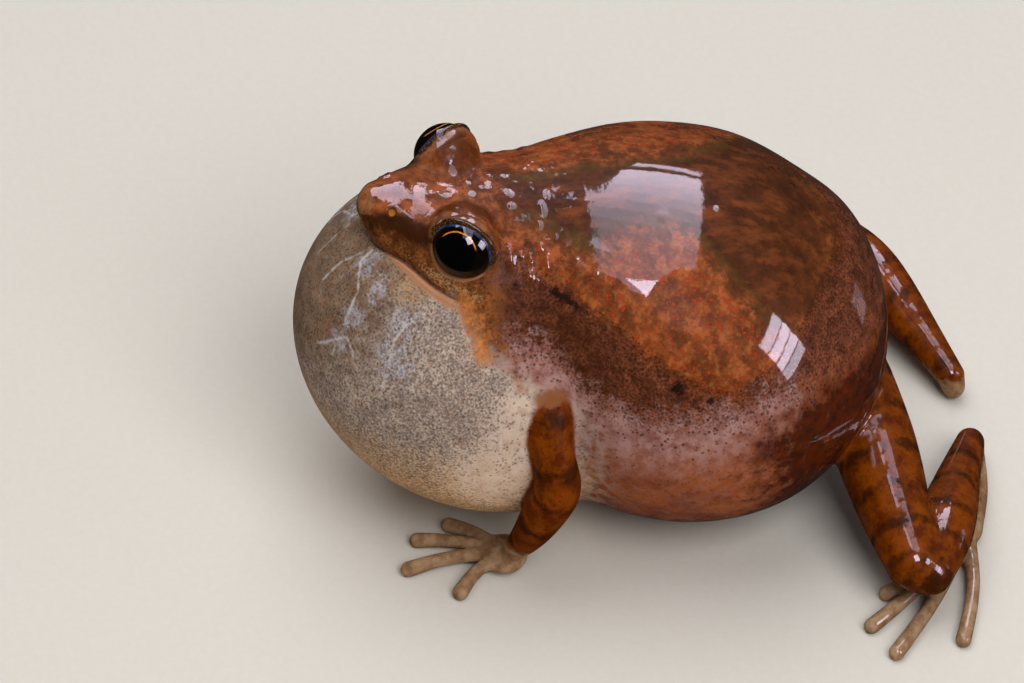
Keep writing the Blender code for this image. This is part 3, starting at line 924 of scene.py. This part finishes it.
# Adds a node. Its sockets are given by name or number, as a number, a colour or another node's output.
def add(tree, kind, sockets=(), **settings):
    made = tree.nodes.new("ShaderNode" + kind)
    for name, value in settings.items():
        setattr(made, name, value)
    for place, value in dict(sockets).items():
        if isinstance(value, bpy.types.NodeSocket):
            tree.links.new(value, made.inputs[place])
        else:
            made.inputs[place].default_value = linear(value) if isinstance(value, str) else value
    return made.outputs


def newMaterial(name):
    material = bpy.data.materials.new(name)
    material.use_nodes = True
    material.node_tree.nodes.clear()
    return material, material.node_tree


# Places on an object in millimetres
def millimetres(tree):
    metres = add(tree, "TexCoord")["Object"]
    return add(tree, "VectorMath", {0: metres, "Scale": 1 / mm}, operation="SCALE")["Vector"]


# Paint that lies where a field is above a level, its edge broken up by grains of a size in millimetres.
# A broken edge of 3 or so turns the field into how thickly fine specks are strewn.
def painted(tree, place, under, colour, field, grain, broken=1.0, soft=0.4, most=1.0, level=0.5):
    field = add(tree, "Attribute", attribute_name=field)["Fac"]
    noise = {"Vector": place, "Scale": 1 / grain, "Detail": 3.0, "Roughness": 0.6}
    speck = add(tree, "TexNoise", noise)["Fac"]
    value = add(tree, "Math", {0: speck, 1: broken, 2: -broken / 2}, operation="MULTIPLY_ADD")["Value"]
    value = add(tree, "Math", {0: value, 1: field}, operation="ADD")["Value"]
    here = add(tree, "MapRange", {"Value": field, "From Max": 0.2, "To Max": most})["Result"]
    sockets = {"Value": value, "From Min": level - soft / 2, "From Max": level + soft / 2, "To Max": here}
    where = add(tree, "MapRange", sockets)["Result"]
    return add(tree, "Mix", {0: where, 6: under, 7: colour}, data_type="RGBA")[2]


# Small separate flecks of a size in millimetres, in as many places as the field and the share allow
def flecked(tree, place, under, colour, field, spacing, size, share, most=1.0):
    field = add(tree, "Attribute", attribute_name=field)["Fac"]
    cell = add(tree, "TexVoronoi", {"Vector": place, "Scale": 1 / spacing})
    half = size / spacing / 2
    sockets = {"Value": cell["Distance"], "From Min": half * 1.5, "From Max": half * 0.5, "To Max": most}
    dot = add(tree, "MapRange", sockets)["Result"]
    draw = add(tree, "SeparateColor", {"Color": cell["Color"]})["Red"]
    limit = add(tree, "Math", {0: field, 1: share}, operation="MULTIPLY")["Value"]
    chosen = add(tree, "Math", {0: draw, 1: limit}, operation="LESS_THAN")["Value"]
    where = add(tree, "Math", {0: dot, 1: chosen}, operation="MULTIPLY")["Value"]
    return add(tree, "Mix", {0: where, 6: under, 7: colour}, data_type="RGBA")[2]


# Two colours mixed in clouds of a size in millimetres
def clouded(tree, place, one, two, size):
    noise = {"Vector": place, "Scale": 1 / size, "Detail": 4.0, "Roughness": 0.62}
    cloud = add(tree, "TexNoise", noise)["Fac"]
    share = add(tree, "MapRange", {"Value": cloud, "From Min": 0.4, "From Max": 0.62})["Result"]
    return add(tree, "Mix", {0: share, 6: one, 7: two}, data_type="RGBA")[2]


# Living frog skin under a film of water: thin, moist and a little see-through, so the pigment lies in specks
# and soft clouds below a smooth coat that mirrors the lights sharply
skinFinish = {
    "ior": 1.4,              # moist skin
    "roughness": 0.55,       # under the film
    "film": 0.05,            # roughness of the water's surface
    "filmIor": 1.36,
    "glow": 0.12,            # share of light that passes through the skin
    "glowReach": 0.0003,
    "bumps": 0.00004,        # metres that the skin is uneven
    "filmBumps": 0.000012,   # and its film
    "back": ("#984e24", "#62300f"),
    "tan": "#a8602f",
    "streak": "#984e24",
    "mark": ("#502810", "#351907"),
    "pepper": "#502810",
    "olive": "#4a3a10",
    "flank": ("#864a30", "#552c19"),
    "lavender": ("#ab827c", "#8a5b50"),
    "belly": ("#a05424", "#7e3c18"),
    # painted shade for the lower rear
    "rear": ("#4c1500", "#260800"),
    "sac": ("#a5948a", "#c2ae9e"),
    # the sac's brown under painted shade, its cream under painted light, and painted light along its
    # underside
    "sacShade": ("#80664f", "#664f3c"),
    "sacCream": ("#e2c9b6", "#ccb29e"),
    "sacUnder": ("#e8bd8a", "#cca274"),
    "sacGold": "#b88a56",
    "sacBlue": "#b4b4be",
    "vein": "#c6c3c0",
    "dot": "#40281c",
    "lid": ("#8c5a3e", "#643d26"),
    "flankDot": "#33160c",
    "lip": "#b27c5a",
    "face": ("#8e5226", "#613515"),
    "faceDark": "#351907",
    "cheek": ("#cc7c3c", "#8c5630"),
    "shoulder": "#86522f",
    "limb": ("#7a3800", "#541f00"),
    "bar": "#2c1200",
    "hand": ("#a88a6a", "#806044"),
    "pit": "#a8661c",
    "red": "#c23a10",
    "black": "#120803",
    "cream": "#a5845c",
    "gold": "#9a7024",
}


# Its coats, the lowest first. Each says how it is laid, its colour, the size of the clouds that its two
# colours make, or 0 for one colour, and the field it follows. Then, for paint, streaks and specks: grain,
# how broken and how soft its edge is, how thick it lies and from which level of the field. For dots: spacing,
# size, share and how thick.
bodyCoats = (
    # the back: tan mottling and pepper, then the dark marking down the middle with its streaks
    ("paint", "tan", 0, "dorsal", 0.35, 3.0, 0.7, 0.65, 1.1),
    ("paint", "mark", 0.7, "dorsal", 0.5, 3.2, 0.6, 0.75, 1.12),
    ("paint", "pepper", 0, "dorsal", 0.2, 3.0, 0.6, 0.7, 1.14),
    ("paint", "mark", 0.7, "marking", 0.8, 1.3, 0.9, 0.92),
    ("streaks", "olive", 0, "markEdge", 0.8, 3.0, 0.9, 0.6, 0.9),
    ("streaks", "streak", 0, "marking", 0.7, 3.4, 1.0, 0.5, 1.7),
    ("paint", "pepper", 0, "moundDark", 0.4, 1.4, 0.9, 0.85),
    # the side: dark under its line, then stippled over lavender, then the clear belly
    ("paint", "flank", 0.5, "belowLine", 0.35, 1.4, 0.6, 0.95),
    ("paint", "mark", 0.5, "sideFront", 0.3, 2.2, 0.8, 0.55),
    ("paint", "lavender", 0.6, "lavender", 0.4, 2.4, 0.8, 0.95),
    ("paint", "belly", 1.5, "belly", 0.3, 0.9, 1.2, 0.92),
    ("specks", "flankDot", 0, "flankDots", 0.085, 3.2, 0.5, 0.65, 0.95),
    ("dots", "flankDot", 0, "flankDots", 0.13, 0.1, 0.75, 0.6),
    ("dots", "flankDot", 0, "onBody", 0.13, 0.08, 0.3, 0.5),
    # painted shade over the lower rear
    ("paint", "rear", 0.4, "rear", 0.45, 1.8, 0.7, 0.92),
    # the face
    ("paint", "face", 0.4, "faceSide", 0.2, 1.4, 0.5),
    ("specks", "flankDot", 0, "faceSide", 0.1, 3.2, 0.5, 0.6, 1.0),
    ("specks", "cream", 0, "faceSide", 0.09, 3.2, 0.5, 0.5, 1.5),
    ("specks", "cream", 0, "lipPale", 0.09, 3.2, 0.5, 0.7, 1.0),
    ("paint", "faceDark", 0, "faceDark", 0.25, 1.2, 0.7, 0.97, 0.36),
    ("paint", "cream", 0, "snoutTan", 0.15, 2.2, 0.9, 0.4, 0.9),
)
sacCoats = (
    # brown and veined in front, darkened there by painted shade; cream by the arm, brightened by painted
    # light, and painted light along its underside, where light shines through
    ("paint", "sacUnder", 0.6, "sacUnder", 0.6, 1.0, 1.0, 0.9),
    ("paint", "sacShade", 0.7, "sacShade", 0.5, 1.6, 0.9, 0.9),
    ("paint", "sacCream", 0.6, "sacCream", 0.4, 1.0, 1.5, 0.85),
    ("paint", "sacBlue", 0, "sacBlue", 0.3, 3.0, 0.8, 0.7, 0.85),
    ("paint", "sacGold", 0, "sacGold", 0.12, 3.2, 0.5, 0.6, 1.0),
)
overCoats = (
    # pepper and veins on the sac, and the orange streak from the eye down to it
    ("specks", "dot", 0, "stipple", 0.085, 3.2, 0.5, 0.55, 0.95),
    ("dots", "dot", 0, "stipple", 0.125, 0.085, 0.8, 0.6),
    ("paint", "vein", 0, "vein", 0.22, 2.2, 0.8, 0.7, 0.75),
    ("paint", "cheek", 0.4, "cheek", 0.25, 2.6, 0.7, 0.85, 0.6),
    ("specks", "cream", 0, "cheek", 0.09, 3.2, 0.5, 0.5, 1.3),
    ("specks", "flankDot", 0, "cheek", 0.1, 3.2, 0.5, 0.5, 1.4),
    # limbs, lip, lids and nostrils
    ("paint", "limb", 0.7, "onLimb", 0.2, 0.8, 0.5),
    ("paint", "bar", 0, "bars", 0.6, 3.2, 0.7, 0.8, 0.8),
    ("paint", "bar", 0, "onLimb", 0.14, 3.0, 0.5, 0.6, 1.4),
    ("paint", "hand", 0.5, "onHand", 0.3, 1.4, 0.6, 0.9),
    ("paint", "shoulder", 0, "shoulder", 0.2, 1.6, 0.7, 0.9),
    ("paint", "lip", 0, "lipBand", 0.2, 0.5, 0.6, 0.9),
    ("paint", "black", 0, "lipLine", 0.2, 0.6, 0.7, 0.8),
    ("paint", "black", 0, "spot", 0.2, 1.6, 0.5, 0.9),
    ("paint", "lid", 0.4, "lidTop", 0.3, 1.2, 0.9, 0.75),
    ("specks", "dot", 0, "lidTop", 0.09, 3.2, 0.5, 0.5, 1.3),
    ("paint", "black", 0, "lidEdge", 0.2, 0.5, 0.5, 0.85),
    ("paint", "lip", 0, "lidRim", 0.2, 0.5, 0.5, 0.6),
    ("paint", "pit", 0, "pit", 0.2, 0.3, 0.4, 0.9),
    # red flecks on the back, dust of gold on the lids
    ("paint", "red", 0, "redZone", 0.2, 3.4, 0.4, 0.7, 1.42),
    ("paint", "red", 0, "redZone", 0.11, 3.4, 0.4, 0.6, 1.55),
    ("dots", "gold", 0, "lidEdge", 0.062, 0.036, 0.85, 0.85),
)


def wetFrogSkin():
    look = skinFinish
    material, tree = newMaterial("wetFrogSkin")
    place = millimetres(tree)
    # millimetres pulled about by fractions of one, so that paint and dots have no round edges
    ripple = add(tree, "TexNoise", {"Vector": place, "Scale": 6.0, "Detail": 3.0})["Color"]
    wobble, shaken = [
        add(tree, "VectorMath", {0: ripple, 1: (far, far, far), 2: place}, operation="MULTIPLY_ADD")["Vector"]
        for far in (0.2, 0.07)
    ]
    # and drawn out from head to rear
    drawn = add(tree, "VectorMath", {0: wobble, 1: (1.7, 0.5, 1.7)}, operation="MULTIPLY")["Vector"]
    places = {"paint": wobble, "streaks": drawn, "specks": place, "dots": shaken}

    def coated(tone, layers):
        for kind, name, size, field, *numbers in layers:
            colour = clouded(tree, wobble, *look[name], size) if size else look[name]
            lay = flecked if kind == "dots" else painted
            tone = lay(tree, places[kind], tone, colour, field, *numbers)
        return tone

    tone = coated(clouded(tree, wobble, *look["back"], 0.8), bodyCoats)
    sac = coated(clouded(tree, wobble, *look["sac"], 0.6), sacCoats)
    tone = painted(tree, wobble, tone, sac, "onSac", 0.4, 1.6, 0.9)
    tone = coated(tone, overCoats)

    # low unevenness on head and neck, next to none on the taut back
    lumps = add(tree, "TexNoise", {"Vector": place, "Scale": 3.0, "Detail": 2.0, "Roughness": 0.5})["Fac"]
    roughField = add(tree, "Attribute", attribute_name="rough")["Fac"]
    bumpy = add(tree, "MapRange", {"Value": roughField, "To Min": 0.2, "To Max": 1.0})["Result"]
    height = add(tree, "Math", {0: lumps, 1: bumpy}, operation="MULTIPLY")["Value"]
    normal, calm = [
        add(tree, "Bump", {"Height": height, "Strength": 1.0, "Distance": deep})["Normal"]
        for deep in (look["bumps"], look["filmBumps"])
    ]
    # the film of water, whole or in islands
    film = add(tree, "TexNoise", {"Vector": wobble, "Scale": 2.2, "Detail": 3.0, "Roughness": 0.55})["Fac"]
    wetField = add(tree, "Attribute", attribute_name="wet")["Fac"]
    film = add(tree, "Math", {0: film, 1: wetField}, operation="ADD")["Value"]
    sockets = {"Value": film, "From Min": 0.95, "From Max": 1.01, "To Min": 0.02}
    coat = add(tree, "MapRange", sockets)["Result"]
    sockets = {
        "Base Color": tone,
        "Roughness": look["roughness"],
        "IOR": look["ior"],
        "Subsurface Weight": look["glow"],
        "Subsurface Radius": (1.0, 0.45, 0.25),
        "Subsurface Scale": look["glowReach"],
        "Specular IOR Level": 0.04,
        "Coat Weight": coat,
        "Coat Roughness": look["film"],
        "Coat IOR": look["filmIor"],
        "Normal": normal,
        "Coat Normal": calm,
    }
    surface = add(tree, "BsdfPrincipled", sockets)["BSDF"]
    add(tree, "OutputMaterial", {"Surface": surface})
    return material


frog.data.materials.append(wetFrogSkin())
say("skin finished")


# The eyes: black glass-clear balls whose iris shows as a dark ring with one gold edge
iris = {
    "lift": 7.5,             # degrees that the pupil sits above the middle of the opening
    "ring": 38.7,            # degrees from the pupil's middle to the gold edge
    "ringWide": 1.3,
    "forward": 5.0,          # and how far it sits towards the snout
    "from": 36.0,            # the gold edge runs round the top between these turns
    "to": 168.0,
    "detail": 6,
}


def eyeBall(side, name):
    look, rear, up = eyeAxes(side)
    centre = (eyeCentre(side) + (0, shift, 0)) * mm
    bm = bmesh.new()
    bmesh.ops.create_icosphere(bm, subdivisions=iris["detail"], radius=eye["radius"] * mm)
    mesh = meshFrom(bm, name)
    way = coordinates(mesh) / (eye["radius"] * mm)
    lift = math.radians(iris["lift"])
    axis = unit(look * math.cos(lift) + up * math.sin(lift) - rear * math.tan(math.radians(iris["forward"])))
    tilt = np.degrees(np.arccos(np.clip(way @ axis, -1, 1)))
    turn = np.degrees(np.arctan2(way @ up, way @ rear))
    fade = smoothStep(iris["from"], iris["from"] + 25, turn) * smoothStep(iris["to"], iris["to"] - 25, turn)
    rim = smoothStep(0.88, 0.98, lidPlace(way, look, rear, up)[1])
    keepFields(mesh, {
        "goldEdge": bell(tilt - iris["ring"], iris["ringWide"]) * fade,
        "inIris": smoothStep(iris["ring"] - 1, iris["ring"] + 2, tilt),
        # painted reflection of the sky along the rim, strongest on the upper side
        "rimReflection": rim * (0.35 + 0.65 * smoothStep(-30, 30, turn)),
    })
    setCoordinates(mesh, way * eye["radius"] * mm + centre)
    mesh.shade_smooth()
    return placed(name, mesh)


# A clear cornea over a nearly black iris: a deep mirror with colour only at its rim, where a painted
# reflection of the sky shows blue
def darkCornea():
    material, tree = newMaterial("darkCornea")
    place = millimetres(tree)
    tone = clouded(tree, place, "#0e0704", "#060302", 0.2)
    pupil = add(tree, "Attribute", attribute_name="inIris")["Fac"]
    tone = add(tree, "Mix", {0: pupil, 6: "#020202", 7: tone}, data_type="RGBA")[2]
    # painted reflection: blue along the rim, standing in for the sky mirrored there
    rimSky = clouded(tree, place, "#51628f", "#2c3557", 0.3)
    tone = painted(tree, place, tone, rimSky, "rimReflection", 0.3, 0.5, 0.7, 0.5)
    gold = clouded(tree, place, "#f2a23a", "#c8701a", 0.2)
    tone = painted(tree, place, tone, gold, "goldEdge", 0.2, 0.3, 0.6)
    surface = add(tree, "BsdfPrincipled", {"Base Color": tone, "Roughness": 0.03, "IOR": 1.38})["BSDF"]
    add(tree, "OutputMaterial", {"Surface": surface})
    return material


cornea = darkCornea()
for side, name in ((1, "eye_left"), (-1, "eye_right")):
    ball = eyeBall(side, name.replace("_l", "L").replace("_r", "R"))
    ball.data.materials.append(cornea)
    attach(ball, "root")
    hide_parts(name)
say("eyes set in")


# Camera: the photo looks at the left side from 82 degrees round and 42 above
camera = {
    "azimuth": 82.0,
    "elevation": 42.0,
    "distance": 200.0,
    "scale": 28.6,           # pixels to a millimetre at the target
    "target": (0.0, 0.0, 6.4),
    "pixel": (690, 320),     # where the target shows
}
frameWidth, frameHeight = 1024, 683


def wayTo(azimuth, elevation):
    az, el = math.radians(azimuth), math.radians(elevation)
    return Vector((math.sin(az) * math.cos(el), -math.cos(az) * math.cos(el), math.sin(el)))


def addCamera():
    back = wayTo(camera["azimuth"], camera["elevation"])
    right = Vector((0, 0, 1)).cross(back).normalized()
    up = back.cross(right)
    target = Vector(camera["target"]) + Vector((0, shift, 0))
    aside = (camera["pixel"][0] - frameWidth / 2) / camera["scale"]
    above = (frameHeight / 2 - camera["pixel"][1]) / camera["scale"]
    place = target - right * aside - up * above + back * camera["distance"]
    data = bpy.data.cameras.new("camera")
    data.sensor_width = 36.0
    data.lens = data.sensor_width * camera["distance"] * camera["scale"] / frameWidth
    data.clip_start, data.clip_end = 0.01, 10.0
    made = placed("camera", data)
    made.matrix_world = Matrix.Translation(place * mm) @ Matrix((right, up, back)).transposed().to_4x4()
    bpy.context.scene.camera = made


addCamera()


# A sheet of pale paper, which the wet skin doesn't mirror, as the photo's ground is dark
def addFloor():
    bm = bmesh.new()
    bmesh.ops.create_grid(bm, x_segments=1, y_segments=1, size=1.0)
    floor = placed("floor", meshFrom(bm, "floor"))
    floor.location.z = -0.00002        # clear of the flat of the belly
    floor.visible_glossy = False
    paper, tree = newMaterial("palePaper")
    tone = clouded(tree, millimetres(tree), "#cdc8be", "#cfcac1", 0.3)
    surface = add(tree, "BsdfPrincipled", {"Base Color": tone, "Roughness": 0.95})["BSDF"]
    add(tree, "OutputMaterial", {"Surface": surface})
    floor.data.materials.append(paper)


addFloor()


# Lights, in metres from the animal. One with a place looks straight down. One with a way stands there, in
# degrees round the animal and above the floor, and looks back at it. Each has the direction of its long side,
# its size, how much of each pane is left open as a gap, and how bright the panes along it are. A mirrored one
# shows only as a reflection in the wet skin, a soft one only lights it.
lights = {
    "window": {
        "place": (-0.135, 0.102, 0.3), "along": (0.97, -0.23, 0), "size": (0.51, 0.118),
        "panes": (13.5, 13.5, 13, 12, 10.5, 8.5, 7, 5.5, 4.5, 4, 3.5),
    },
    "windowTop": {
        "place": (-0.45, 0.185, 0.3), "along": (0.35, 0.94, 0), "size": (0.11, 0.05), "panes": (10,),
    },
    "sky": {"place": (-0.36, -0.045, 0.3), "along": (1, 0, 0), "size": (0.42, 0.2), "panes": (10,)},
    "windowFoot": {
        "place": (0.085, -0.008, 0.3), "along": (1, -0.3, 0), "size": (0.09, 0.11), "panes": (3.5,),
    },
    "gap": {"way": (106, 58), "far": 0.3, "along": (0, 0, 1), "size": (0.13, 0.1), "panes": (26,)},
    "slit": {"place": (-0.02, -0.012, 0.3), "along": (1, 0, 0), "size": (0.36, 0.04), "panes": (12, 9, 5)},
    "sideWindow": {
        "way": (150, 23), "far": 0.3, "along": (0.35, 0.3, 1), "size": (0.14, 0.12),
        "panes": (14, 24, 26, 20), "gap": 0.12,
    },
    "edge": {"way": (-167, 1), "far": 0.3, "along": (0, 0, 1), "size": (0.08, 0.05), "panes": (1.5,)},
    "overhead": {
        "way": (-60, 75), "far": 0.35, "along": (1, 0, 0), "size": (0.35, 0.3), "panes": (2.6,), "soft": True,
    },
    "key": {
        "way": (110, 48), "far": 0.35, "along": (0, 0, 1), "size": (0.2, 0.2), "panes": (6.5,), "soft": True,
    },
}


def addLight(name, facts):
    if "way" in facts:
        away = wayTo(*facts["way"])
        middle = away * facts["far"]
    else:
        away, middle = Vector((0, 0, 1)), Vector(facts["place"])
    away.normalize()
    across = away.cross(Vector(facts["along"])).normalized()
    along = across.cross(away)
    length, width = facts["size"]
    step = length / len(facts["panes"])
    soft = facts.get("soft", False)
    for number, bright in enumerate(facts["panes"]):
        data = bpy.data.lights.new(f"{name}{number}", "AREA")
        data.shape = "RECTANGLE"
        data.size, data.size_y = step * (1 - facts.get("gap", 0.0)), width
        data.energy = bright * math.pi * data.size * data.size_y
        if not soft:
            data.color = linear("#f4e8ff")[:3]         # daylight from a cloudy sky
        made = placed(data.name, data)
        place = middle + along * (step * (number + 0.5) - length / 2)
        made.matrix_world = Matrix.Translation(place) @ Matrix((along, across, away)).transposed().to_4x4()
        made.visible_glossy = not soft
        made.visible_diffuse = soft


for name, facts in lights.items():
    addLight(name, facts)


# A dim grey room, darker still where the wet skin mirrors it
world = bpy.data.worlds.new("studio")
world.use_nodes = True
world.node_tree.nodes.clear()
mirrored = add(world.node_tree, "LightPath")["Is Glossy Ray"]
dim = add(world.node_tree, "MapRange", {"Value": mirrored, "To Min": 0.2, "To Max": 0.03})["Result"]
room = add(world.node_tree, "Background", {"Color": "#d2cfc9", "Strength": dim})["Background"]
add(world.node_tree, "OutputWorld", {"Surface": room})
bpy.context.scene.world = world
bpy.context.scene.view_settings.view_transform = "Standard"
say("lights and floor set")
